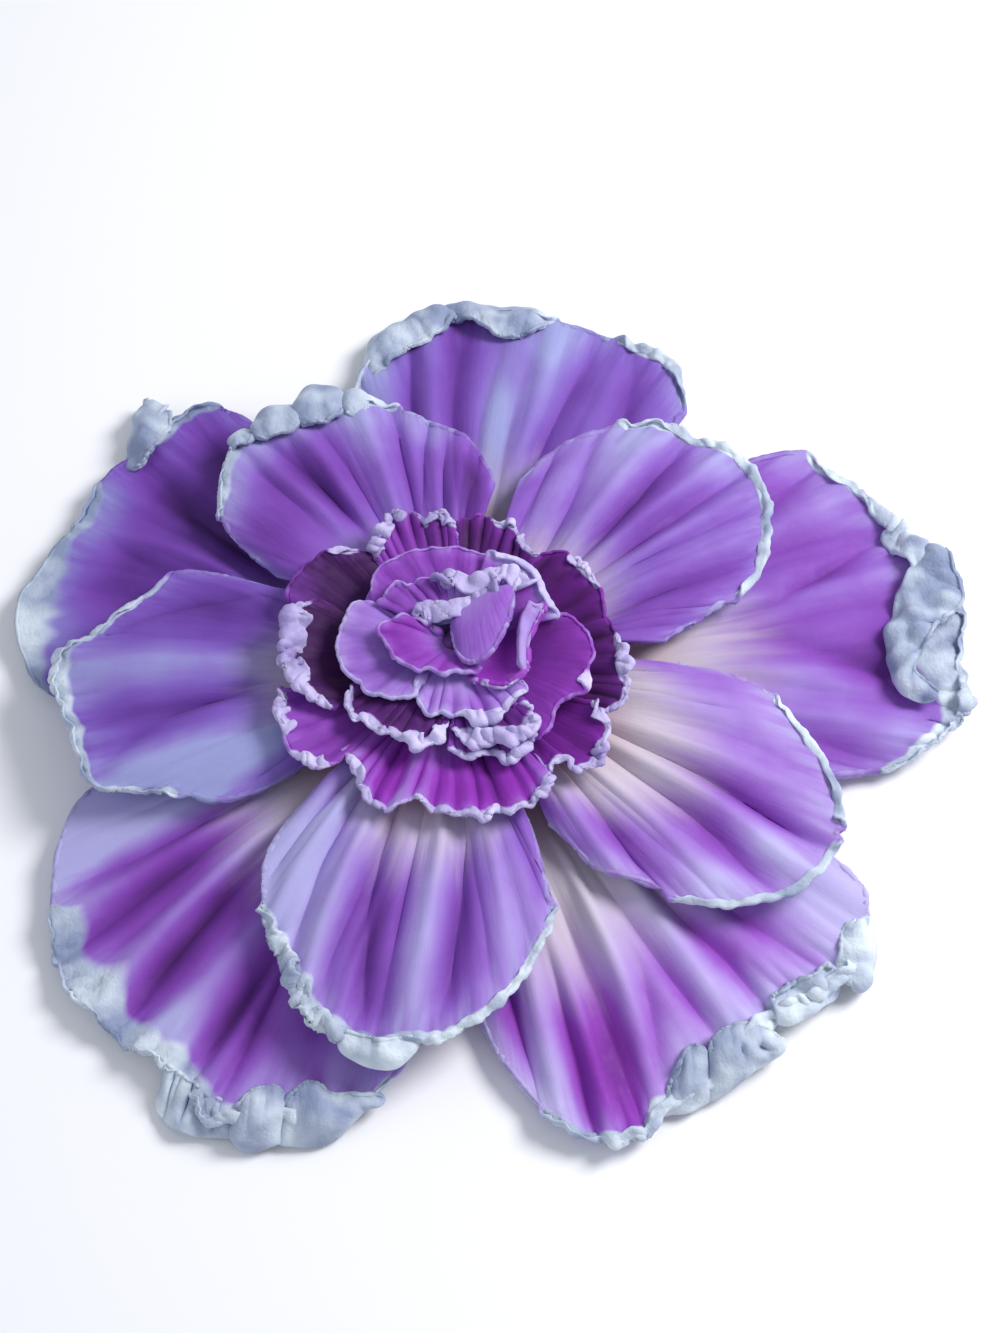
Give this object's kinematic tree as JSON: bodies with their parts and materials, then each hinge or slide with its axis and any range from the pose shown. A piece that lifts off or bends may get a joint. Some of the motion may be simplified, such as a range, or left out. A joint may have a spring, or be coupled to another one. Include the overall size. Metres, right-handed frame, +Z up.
{
  "type": "clematis flower",
  "caption": "Double clematis bloom lying face up, with two whorls of broad folded petals and a ruffled rosette in the middle.",
  "frame": {"origin": "middle of the flat foot under the bloom, on the surface that it rests on", "axes": "+Z up out of the bloom's face, +Y towards its top petal, +X to the right of that petal as seen from above"},
  "size_m": [0.1223, 0.1215, 0.0208],
  "materials": {
    "petal": "matte",
    "collar": "matte",
    "flounce": "matte",
    "heart": "matte",
    "receptacle": "matte"
  },
  "bodies": {
    "root": {"receptacle": "receptacle", "outer_petal_top": "petal", "outer_petal_right": "petal", "outer_petal_lower_right": "petal", "outer_petal_lower_left": "petal", "outer_petal_left": "petal", "inner_petal_upper_left": "petal", "inner_petal_upper_right": "petal", "inner_petal_lower_right": "petal", "inner_petal_bottom": "petal", "inner_petal_left": "petal", "collar": "collar", "flounces": "flounce", "heart": "heart"}
  },
  "joints": []
}
